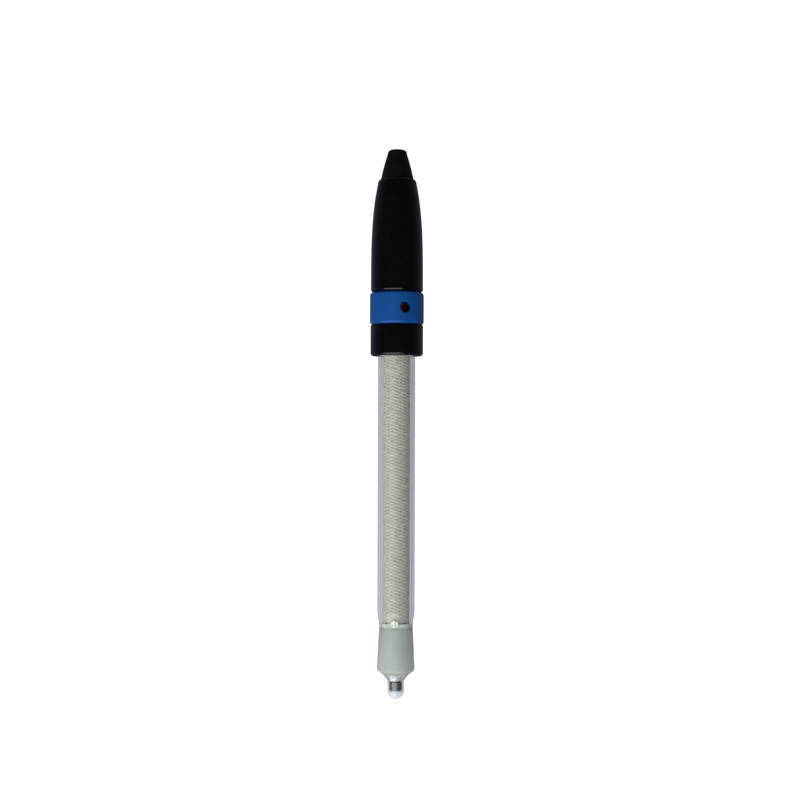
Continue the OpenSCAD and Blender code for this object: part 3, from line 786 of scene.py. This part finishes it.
def sky():
    """White behind the object, and a soft grey room with pale panels for what the glass and the gloss show."""
    world = bpy.data.worlds.new("room")
    scene.world = world
    world.use_nodes = True
    tree = world.node_tree
    tree.nodes.clear()
    room = Nodes(tree)

    def ramp(value, lo, hi, stops):
        """A colour ramp over value from lo to hi."""
        share = room.math("DIVIDE", room.math("SUBTRACT", value, lo), hi - lo)
        return room.ramp(share, *(((at - lo) / (hi - lo), colour) for at, colour in stops))

    way = room.add("ShaderNodeSeparateXYZ")
    room.link(room.add("ShaderNodeTexCoord").outputs["Generated"], way.inputs[0])
    x, y, z = (way.outputs[k] for k in "XYZ")
    turn = room.math("MULTIPLY", room.math("ARCTAN2", x, room.math("MULTIPLY", y, -1.0)), 180 / math.pi)
    path = room.add("ShaderNodeLightPath")
    # fill lights dull surfaces, shine is what gloss mirrors, seen and steep are what glass shows, by direction
    fill = ramp(x, -1, 1, [(-0.9, (0.62, 0.64, 0.62)), (0.9, (0.41, 0.43, 0.41))])
    shine = ramp(turn, -180, 180, [
        (-180, 0.02), (-162, 0.04), (-142, (0.175, 0.18, 0.22)), (-108, (0.09, 0.10, 0.13)), (-70, 0.045),
        (70, 0.045), (108, (0.085, 0.09, 0.11)), (142, (0.15, 0.16, 0.20)), (162, 0.04), (180, 0.02)])
    seen = ramp(turn, -180, 180, [
        (-180, (0.50, 0.53, 0.58)), (-163, (0.55, 0.58, 0.65)), (-145, (0.53, 0.56, 0.62)), (-120, 0.3),
        (-105, 0.26), (-72, 0.5), (-42, 1.25), (-14, 1.15), (5, 0.75), (24, 0.5), (45, 0.3), (80, 0.16),
        (130, 0.3), (150, (0.41, 0.44, 0.50)), (180, (0.45, 0.48, 0.52))])
    steep = ramp(z, -1, 1, [(-1, 0.95), (-0.32, 0.85), (-0.2, 0.57), (-0.087, 0.54), (-0.017, 0.5),
                            (0.044, 0.45), (0.3, 0.4), (1, 0.4)])
    seen = room.mix(1.0, room.mix(1.0, seen, steep, "MULTIPLY"), (2.0, 2.0, 2.0), "MULTIPLY")
    colour = room.mix(path.outputs["Is Glossy Ray"], fill, shine)
    colour = room.mix(path.outputs["Is Transmission Ray"], colour, seen)
    colour = room.mix(path.outputs["Is Camera Ray"], colour, (BACKDROP, BACKDROP, BACKDROP))
    background = room.add("ShaderNodeBackground")
    room.link(colour, background.inputs["Color"])
    room.link(background.outputs[0], room.add("ShaderNodeOutputWorld").inputs["Surface"])
    world.cycles.sampling_method = "NONE"


sky()


def floor():
    """A plain white floor a little below the tip."""
    z = cad_box[0].z - FLOOR_DROP
    mesh = bpy.data.meshes.new("floor")
    s = FLOOR_HALF
    mesh.from_pydata([(-s, -s, z), (s, -s, z), (s, s, z), (-s, s, z)], [], [(0, 1, 2, 3)])
    obj = bpy.data.objects.new("floor", mesh)
    scene.collection.objects.link(obj)
    look = Look("floor_white")
    look.set(Base_Color=(0.0, 0.0, 0.0, 1.0), Roughness=1.0, Specular_IOR_Level=0.0, Emission_Strength=BACKDROP)
    tone = look.noise(0.02, 2)
    look.link(look.ramp(tone, (0.0, 0.995), (1.0, 1.0)), look.shader.inputs["Emission Color"])
    mesh.materials.append(look.mat)
    for ray in ("diffuse", "glossy", "transmission", "volume_scatter", "shadow"):
        setattr(obj, "visible_" + ray, False)


floor()
scene.view_settings.view_transform = "Standard"
scene.view_settings.look = "None"

# ---------------------------------------------------------------- camera
DISTANCE, FIELD = 0.47, 0.25935  # metres from the axis, and what the picture spans there
ASIDE, HEIGHT, TILT, ROLL = 0.0011, -0.022, 0.95, 0.18
SENSOR = 36
camera = bpy.data.objects.new("camera", bpy.data.cameras.new("camera"))
camera.data.sensor_width = SENSOR
camera.data.lens = SENSOR * DISTANCE / FIELD
camera.data.clip_start = 0.01
camera.location = (ASIDE, -DISTANCE, HEIGHT)
camera.rotation_mode = "XYZ"
camera.rotation_euler = (math.radians(90 + TILT), 0, 0)
camera.rotation_euler.rotate_axis("Z", math.radians(ROLL))
scene.collection.objects.link(camera)
scene.camera = camera
